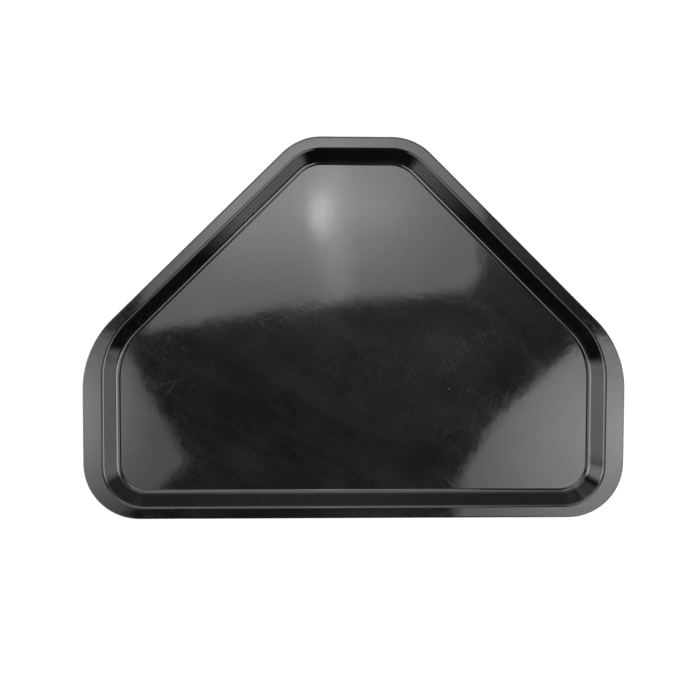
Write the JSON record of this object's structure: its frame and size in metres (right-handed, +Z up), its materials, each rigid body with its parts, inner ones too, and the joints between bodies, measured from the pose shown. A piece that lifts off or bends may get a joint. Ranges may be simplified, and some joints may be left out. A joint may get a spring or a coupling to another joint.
{
  "type": "serving tray",
  "caption": "Trapezoid serving tray with sloping walls, rounded corners and a flat rim that is wider at its two ends.",
  "frame": {"origin": "middle of the plan (the middle of the 480 x 337 mm box), on the plane that the tray rests on", "axes": "+X along the long front edge, +Y from the long front edge to the short back edge, +Z up out of the tray"},
  "size_m": [0.48, 0.3366, 0.0193],
  "materials": {
    "black_gloss_skin": "polished black polyester skin with fine scratches",
    "black_satin_skin": "satin black polyester skin",
    "glass_mat": "glass fibre mat in dark polyester resin",
    "rim_wire": "drawn wire"
  },
  "bodies": {
    "root": {"top_skin": "black_gloss_skin", "upper_glass_mat": "glass_mat", "lower_glass_mat": "glass_mat", "bottom_skin": "black_satin_skin", "rim_wire": "rim_wire"}
  },
  "joints": []
}
